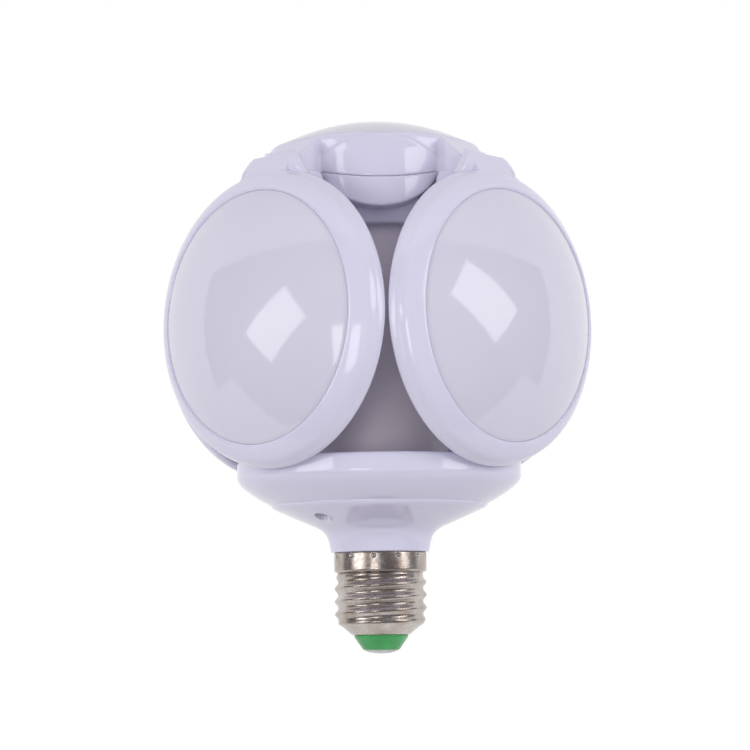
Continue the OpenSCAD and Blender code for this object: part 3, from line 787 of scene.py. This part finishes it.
@dataclass
class CentrePanel(Moulding):
    """Centre panel with its hinge tongues, diffuser and light board, on the column."""

    body: str = "lamp_body"
    lip_z: float = 115.9
    seat_z: float = 114.1
    dome_r: float = 29.5
    sphere: float = 60.0
    wall_r: float = 32.0
    lobe_r: float = 24.0
    tongue_side: float = 18.6
    tongue_fade: float = 3.0
    voxel_mm: float = 0.37
    rounds: int = 4

    def crown(self, mesh: bmesh.types.BMesh) -> None:
        """Gives the walls between the tongues their own fuller curve, which draws the lights together.

        Args:
            mesh: Shell of the panel, whose walls follow the round panel.
        """
        for vert in mesh.verts:
            radius, height = vert.co.xy.length / MM, vert.co.z / MM
            angle = math.degrees(math.atan2(vert.co.y, vert.co.x))
            off = angle % 90 - 45
            side = abs(radius * math.sin(math.radians(off)))
            reach = min(side, self.tongue_side)
            inset = math.sqrt(self.wall_r ** 2 - reach ** 2) - math.sqrt(self.lobe_r ** 2 - reach ** 2)
            inset -= self.wall_r - self.lobe_r
            inset *= ease(26.5, 30, radius)
            inset *= 1 - ease(self.tongue_side - self.tongue_fade, self.tongue_side, side)
            inset *= 1 - ease(110.5, self.lip_z - 0.7, height)
            way = math.radians(angle - off)
            vert.co -= Vector((math.cos(way), math.sin(way), 0)) * inset * MM

    def build(self) -> None:
        """Builds the panel's pieces and dresses them."""
        for side in ("front", "back"):
            node = f"centre_{side}_shell"
            skin = self.moulded(self.copied(node), self.voxel_mm, self.rounds)
            self.crown(skin)
            self.finished(f"centre_{side}_moulding", skin, self.body, ABS, [node], 180)
        place = Matrix.Translation((0, 0, self.lip_z * MM))
        dome(self, "centre_dome", place, self.dome_r, self.lip_z - self.seat_z, self.sphere, self.body,
             "centre_diffuser")
        # The column's finish carries painted bounce light: a paler, warmer white than the other ABS.
        dress(COLUMN_ABS_PAINTED_BOUNCE, "column_tube")
        dress(ZINC, "column_screws", "centre_screws", *[f"hinge_pin_{n}" for n in (1, 2, 3, 4)])
        dress(MASK, "centre_light_board")
        dress(PHOSPHOR, "centre_leds")


@dataclass
class Leaf(Moulding):
    """One folding leaf: bezel, back shell, domed diffuser and light board."""

    number: int
    rim_h: float = 49.6
    centre_z: float = 63.5
    dome_r: float = 34.9
    rim_r: float = 41.3
    sphere: float = 60.0
    edge: float = 3.8
    seam_w: float = -4.4
    inner_r: float = 32.4
    out_h: float = 46.2
    ridge_half: float = 7.5
    rail_in: float = 7.75
    rail_out: float = 9.0
    arm_in_h: float = 35.9
    arm_out_h: float = 40.0
    arm_low_z: float = 103.4
    pin_h: float = 37.4
    pin_z: float = 108.2
    knuckle_r: float = 1.7
    knuckle_half: float = 2.5
    voxel_mm: float = 0.3
    rounds: int = 10

    def place(self) -> Matrix:
        """Where the leaf lies.

        Returns:
            Matrix that takes +Z to the leaf's outward normal and the origin to its rim's centre.
        """
        out = Matrix.Rotation(math.radians(90), 4, "Y")
        return self.turn() @ Matrix.Translation((self.rim_h * MM, 0, self.centre_z * MM)) @ out

    def turn(self) -> Matrix:
        """Turns the first leaf's place to this leaf's."""
        return Matrix.Rotation(math.radians(90 * (self.number - 1)), 4, "Z")

    def bezel(self) -> bmesh.types.BMesh:
        """Builds the bezel: a thin lip round the dome, a crowned band and the joint behind it.

        Returns:
            The bezel's mesh.
        """
        d, r, w = self.dome_r, self.rim_r, self.seam_w
        outer = [
            (d + 0.02, -0.12), (d + 0.09, 0.0), (d + 0.24, 0.12), (d + 0.46, 0.2), (d + 0.76, 0.19),
            (d + 1.15, 0.02), (d + 1.75, -0.33), (d + 2.45, -0.8), (d + 3.3, -1.42), (d + 4.1, -2.07),
            (r - 1.75, -2.66), (r - 1.36, -3.22), (r - 1.09, -3.82), (r - 0.9, w), (r - 0.7, w - 0.45),
            (r - 0.5, w - 0.8), (r - 0.64, w - 0.95)]
        inner = [(r - 2.4, w - 0.95), (r - 2.4, w), (d - 1.4, w), (d - 1.4, -3.8), (d + 0.02, -3.8)]
        return self.spun([*outer, *inner, outer[0]], 160)

    def dish(self) -> bmesh.types.BMesh:
        """Builds the back shell's dish: the rim behind the bezel, the flange and the flat back.

        Returns:
            The dish's mesh.
        """
        r, w = self.rim_r, self.seam_w
        outer = [
            (r - 1.02, w - 0.02), (r - 0.55, w - 0.8), (r - 0.26, w - 1.4), (r - 0.08, w - 2.1),
            (r, w - 2.8), (r - 0.1, w - 3.3), (r - 0.4, w - 3.75), (r - 0.8, w - 4.02), (r - 1.2, w - 4.1),
            (r - 4.5, w - 4.1), (r - 4.9, w - 4.25), (r - 5.5, w - 4.7), (r - 9.7, w - 11.6),
            (r - 10.3, w - 12.3), (r - 11.1, w - 12.8), (r - 12.3, w - 13.1), (0, w - 13.1)]
        inner = [(0, w - 11.5), (r - 12.5, w - 11.5), (r - 11.6, w - 11.0), (r - 7.3, w - 4.0),
                 (r - 2.6, w - 2.4), (r - 2.6, w - 0.02)]
        return self.spun([*outer, *inner, outer[0]], 160)

    def rim_ring(self, angle: float) -> list[tuple[float, float, float]]:
        """Gives the rim's section, a little below the surface, at an angle from the leaf's top.

        Args:
            angle: Angle in degrees.

        Returns:
            The ring's points, for the first leaf.
        """
        d, r = self.dome_r, self.rim_r
        section = [
            (d + 1.4, -0.45), (d + 2.45, -0.9), (d + 3.3, -1.52), (d + 4.1, -2.17), (r - 1.84, -2.72),
            (r - 1.46, -3.28), (r - 1.19, -3.86), (r - 1.0, -4.4), (r - 0.6, -5.2), (r - 0.36, -5.8),
            (r - 0.1, -7.0), (r - 0.5, -7.9), (r - 1.4, -8.2), (r - 5.2, -8.2)]
        lean = math.radians(angle)
        return [(self.rim_h + w, ring * math.sin(lean), self.centre_z + ring * math.cos(lean))
                for ring, w in section]

    def lug(self) -> bmesh.types.BMesh:
        """Builds the hinge lug of the first leaf: block, flared ridge, knuckle and side rails, with
        the stretch of rim that they grow from.

        Returns:
            The closed bodies, which overlap.
        """
        mesh = bmesh.new()
        block = []
        for height, half, out_h in ((95.4, 10.7, self.out_h), (103.1, 9.0, self.out_h), (104.35, 8.7, 40.8)):
            arc = [half - half * k / 3 for k in range(7)]
            block.append([(out_h, -half, height), (out_h, half, height),
                          *[(math.sqrt(self.inner_r ** 2 - t * t), t, height) for t in arc]])
        self.loft(mesh, block)
        ridge = ((39.7, 103.35), (39.7, 108.4), (40.8, 109.5), (42.0, 109.4), (self.out_h, 103.1))
        self.loft(mesh, [[(h, t, z) for h, z in ridge] for t in (-self.ridge_half, self.ridge_half)])
        flare = ((102.8, 12.8, 40.2, 42.8), (104.0, 11.6, 40.2, 43.4), (105.5, 10.5, 40.2, 43.7),
                 (107.0, 9.6, 40.2, 43.2), (108.4, 8.7, 40.2, 42.6), (109.3, 7.7, 40.6, 42.0))
        self.loft(mesh, [[(low, -half, z), (high, -half, z), (high, half, z), (low, half, z)]
                         for z, half, low, high in flare])
        near_h, far_h, rail_top = 32.2, 39.0, 104.8
        for side in (1, -1):
            rail = [(near_h, side * self.rail_in), (far_h, side * self.rail_in),
                    (far_h, side * self.rail_out), (near_h, side * self.rail_out)]
            self.loft(mesh, [[(h, t, z) for h, t in rail] for z in (self.arm_low_z, rail_top)])
        half = self.knuckle_half
        arm = [(self.arm_in_h, half), (self.arm_out_h, half), (self.arm_out_h, -half), (self.arm_in_h, -half)]
        self.loft(mesh, [[(h, t, z) for h, t in arm] for z in (self.arm_low_z, self.pin_z)])
        around = [math.tau * k / 24 for k in range(24)]
        self.loft(mesh, [[(self.pin_h + self.knuckle_r * math.cos(a), t,
                           self.pin_z + self.knuckle_r * math.sin(a)) for a in around]
                         for t in (-half, half)])
        self.loft(mesh, [self.rim_ring(angle) for angle in range(-26, 27, 2)])
        return mesh

    def build(self) -> None:
        """Builds the leaf's pieces and dresses them."""
        body = f"leaf_{self.number}"
        ring = self.bezel()
        bmesh.ops.transform(ring, matrix=self.place(), verts=ring.verts)
        self.finished(f"{body}_bezel", ring, body, ABS, [f"{body}_front_ring"])
        dome(self, f"{body}_dome", self.place(), self.dome_r, self.edge, self.sphere, body,
             f"{body}_diffuser")
        back = self.moulded(self.lug(), self.voxel_mm, self.rounds)
        bmesh.ops.transform(back, matrix=self.turn(), verts=back.verts)
        dish = self.dish()
        bmesh.ops.transform(dish, matrix=self.place(), verts=dish.verts)
        gather(back, dish)
        self.finished(f"{body}_back_moulding", back, body, ABS, [f"{body}_back_shell"])
        dress(MASK, f"{body}_light_board")
        dress(PHOSPHOR, f"{body}_leds")
        dress(ZINC, f"{body}_screws")


def dome(
    maker: Moulding,
    name: str,
    place: Matrix,
    radius: float,
    edge: float,
    sphere: float,
    body: str,
    node: str,
) -> bpy.types.Object:
    """Builds a domed diffuser, hollow, with a rounded edge.

    Args:
        maker: Sub-assembly that finishes the piece.
        name: Name of the piece.
        place: Where the dome's edge plane lies.
        radius: Edge radius in millimetres.
        edge: Depth of the upright edge in millimetres.
        sphere: Sphere radius in millimetres.
        body: Body that carries the dome.
        node: CAD node that it replaces.

    Returns:
        The new object.
    """
    wall, count, inner_count = 1.4, 28, 12
    limit = math.asin((radius - 0.1) / sphere)
    sink = sphere * math.cos(math.asin(radius / sphere))
    outer = [(sphere * math.sin(limit * k / count), sphere * math.cos(limit * k / count) - sink)
             for k in range(count + 1)]
    inside = sphere - wall
    inner_limit = math.asin((radius - wall) / inside)
    inner = [(inside * math.sin(inner_limit * k / inner_count),
              inside * math.cos(inner_limit * k / inner_count) - sink) for k in range(inner_count, -1, -1)]
    rim = [(radius - 0.02, -0.06), (radius, -0.2), (radius, -edge), (radius - wall, -edge)]
    mesh = maker.spun([*outer, *rim, *inner], 128)
    bmesh.ops.transform(mesh, matrix=place, verts=mesh.verts)
    return maker.finished(name, mesh, body, OPAL, [node])


def dress(finish: Finish, *nodes: str) -> None:
    """Gives CAD nodes that stay a finish.

    Args:
        finish: Finish to use.
        nodes: Names of the nodes.
    """
    for node in nodes:
        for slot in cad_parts[node].material_slots:
            slot.material = finish.material()


@dataclass
class Studio:
    """Camera, soft boxes, sky and floor."""

    lens: float = 119.2
    distance: float = 709.86
    azimuth: float = 42.43
    height: float = -23.22
    pitch: float = 5.96
    roll: float = 0.75
    floor_z: float = -95.4
    middle_z: float = 63.6
    sensor: float = 36.0
    shift: float = -0.0038
    sky: float = 1.24
    fill: float = 0.62
    card_r: float = 1.5
    card_low: float = -0.42
    lamp_tint: tuple[float, float, float] = (1.0, 0.985, 0.97)
    horizon: str = "f7f7ff"
    overhead: str = "858187"
    room: str = "7c7a7e"

    def camera(self) -> None:
        """Sets up the camera at the photograph's viewing angle."""
        data = bpy.data.cameras.new("camera")
        data.lens = self.lens
        data.sensor_width = self.sensor
        data.shift_x = self.shift
        data.clip_start = 0.01
        data.clip_end = 50
        camera = bpy.data.objects.new("camera", data)
        turn = math.radians(self.azimuth)
        spot = Vector((math.sin(turn) * self.distance, -math.cos(turn) * self.distance, self.height))
        camera.matrix_world = (
            Matrix.Translation(spot * MM) @ Matrix.Rotation(turn, 4, "Z")
            @ Matrix.Rotation(math.radians(90 + self.pitch), 4, "X")
            @ Matrix.Rotation(-math.radians(self.roll), 4, "Z"))
        bpy.context.scene.collection.objects.link(camera)
        bpy.context.scene.camera = camera

    def softbox(
        self,
        name: str,
        azimuth: float,
        elevation: float,
        tilt: float,
        size: tuple[float, float],
        power: float,
        distance: float = 1.1,
    ) -> None:
        """Hangs a rectangular soft box that faces the lamp.

        Args:
            name: Name of the lamp.
            azimuth: Degrees to the right of the camera, as seen from the object.
            elevation: Degrees above the horizon.
            tilt: Turn of the rectangle in degrees.
            size: Width and height in metres.
            power: Power in watts.
            distance: Distance from the lamp's middle in metres.
        """
        data = bpy.data.lights.new(name, "AREA")
        data.shape = "RECTANGLE"
        data.size, data.size_y = size
        data.energy = power
        data.color = self.lamp_tint
        box = bpy.data.objects.new(name, data)
        turn = math.radians(self.azimuth + azimuth)
        rise = math.radians(elevation)
        way = Vector((math.sin(turn) * math.cos(rise), -math.cos(turn) * math.cos(rise), math.sin(rise)))
        aim = way.to_track_quat("Z", "Y").to_matrix().to_4x4()
        aim = aim @ Matrix.Rotation(math.radians(tilt), 4, "Z")
        box.matrix_world = Matrix.Translation(Vector((0, 0, self.middle_z * MM)) + way * distance) @ aim
        bpy.context.scene.collection.objects.link(box)

    def world(self) -> None:
        """Lights the object softly, more from the side than from above, and shows white to the
        camera and to gloss."""
        world = bpy.data.worlds.new("sky")
        bpy.context.scene.world = world
        world.use_nodes = True
        tree = world.node_tree
        tree.nodes.clear()
        path = add_node(tree, "ShaderNodeLightPath").outputs
        way = add_node(tree, "ShaderNodeTexCoord").outputs["Generated"]
        rise = add_node(tree, "ShaderNodeSeparateXYZ", None, {0: way}).outputs["Z"]
        shade = tint(tree, rise, self.horizon, self.overhead)
        light = add_node(tree, "ShaderNodeBackground", None, {"Color": shade, "Strength": self.sky})
        white = add_node(tree, "ShaderNodeBackground", None, {"Color": (1, 1, 1, 1), "Strength": 1.0})
        seen = add_node(tree, "ShaderNodeMath", {"operation": "ADD", "use_clamp": True},
                        {0: path["Is Camera Ray"], 1: path["Is Glossy Ray"]}).outputs[0]
        shown = add_node(tree, "ShaderNodeMath", {"operation": "MAXIMUM"},
                         {0: seen, 1: path["Is Transmission Ray"]}).outputs[0]
        mix = add_node(tree, "ShaderNodeMixShader", None,
                       {0: shown, 1: light.outputs[0], 2: white.outputs[0]})
        add_node(tree, "ShaderNodeOutputWorld", None, {"Surface": mix.outputs[0]})

    def floor(self) -> None:
        """Lays a plain pale floor below the lamp, which reads as white to the camera and gives gloss
        the world's white in its place."""
        mesh = bmesh.new()
        bmesh.ops.create_grid(mesh, x_segments=1, y_segments=1, size=12)
        bmesh.ops.translate(mesh, verts=mesh.verts, vec=(0, 0, self.floor_z * MM))
        floor = linked("floor", mesh)
        material = bpy.data.materials.new("pale_paper_floor")
        material.use_nodes = True
        tree = material.node_tree
        tree.nodes.clear()
        place = add_node(tree, "ShaderNodeTexCoord").outputs["Object"]
        grain = mottle(tree, place, 40, 2)
        shade = tint(tree, grain, "e0dfe1", "e3e2e3")
        paper = add_node(tree, "ShaderNodeBsdfDiffuse", None, {"Color": shade})
        path = add_node(tree, "ShaderNodeLightPath").outputs
        seen = add_node(tree, "ShaderNodeMath", {"operation": "MAXIMUM"},
                        {0: path["Is Camera Ray"], 1: path["Is Glossy Ray"]})
        fill = add_node(tree, "ShaderNodeMath", {"operation": "MULTIPLY"}, {0: seen.outputs[0], 1: self.fill})
        glow = add_node(tree, "ShaderNodeEmission", None,
                        {"Color": (1, 1, 1, 1), "Strength": fill.outputs[0]})
        both = add_node(tree, "ShaderNodeAddShader", None, {0: paper.outputs[0], 1: glow.outputs[0]})
        add_node(tree, "ShaderNodeOutputMaterial", None, {"Surface": both.outputs[0]})
        floor.data.materials.append(material)
        floor.visible_glossy = False

    def open_front(self) -> None:
        """Hangs a dark card round the camera's side, which only reflections show, as the open front
        of a light tent does. It is highest straight ahead, and its foot runs in below the floor."""
        mesh = bmesh.new()
        reach = self.card_r
        drop = self.middle_z * MM - self.card_low
        columns = []
        for off in range(-104, 105, 4):
            turn = math.radians(self.azimuth + off)
            way = Vector((math.sin(turn), -math.cos(turn), 0))
            ahead = math.cos(math.radians(off))
            fall, climb = 0.25 + 2.3 * ahead, 0.5 + 0.45 * ahead
            near = 0.999 * drop / max(fall, drop / reach)
            high = self.middle_z * MM + reach * climb
            edge = ((near, self.card_low), (reach, self.card_low), (reach, high))
            columns.append([mesh.verts.new(way * r + Vector((0, 0, z))) for r, z in edge])
        for left, right in zip(columns, columns[1:]):
            for k in (0, 1):
                mesh.faces.new((left[k], right[k], right[k + 1], left[k + 1]))
        card = linked("open_front", mesh)
        material = bpy.data.materials.new("dim_room")
        material.use_nodes = True
        tree = material.node_tree
        tree.nodes.clear()
        glow = add_node(tree, "ShaderNodeEmission", None, {"Color": linear(self.room), "Strength": 1.0})
        add_node(tree, "ShaderNodeOutputMaterial", None, {"Surface": glow.outputs[0]})
        card.data.materials.append(material)
        card.visible_camera = False
        card.visible_diffuse = False
        card.visible_shadow = False

    def build(self) -> None:
        """Sets up the camera, the light and the floor."""
        self.camera()
        self.world()
        self.floor()
        self.open_front()
        self.softbox("left_softbox", -54, 0, 40, (0.6, 0.4), 2.45)
        self.softbox("right_softbox", 58, 10, -40, (0.68, 0.42), 2.75)
        self.softbox("low_softbox", -14, -14, 0, (0.136, 0.19), 0.29, 0.5)
        bpy.context.scene.view_settings.view_transform = "Standard"


def corners(box: tuple[Vector, Vector]) -> list[list[float]]:
    """Turns a box into plain lists.

    Args:
        box: Lowest and highest corner.

    Returns:
        The two corners as lists of numbers.
    """
    return [[float(c) for c in corner] for corner in box]


def main() -> None:
    """Builds the lamp and its studio."""
    logging.basicConfig(level=logging.INFO, format="%(name)s %(message)s")
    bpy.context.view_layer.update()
    Studio().build()
    ScrewCap().build()
    Base().build()
    CentrePanel().build()
    for number in (1, 2, 3, 4):
        Leaf(number).build()


if __name__ == "__main__":
    main()
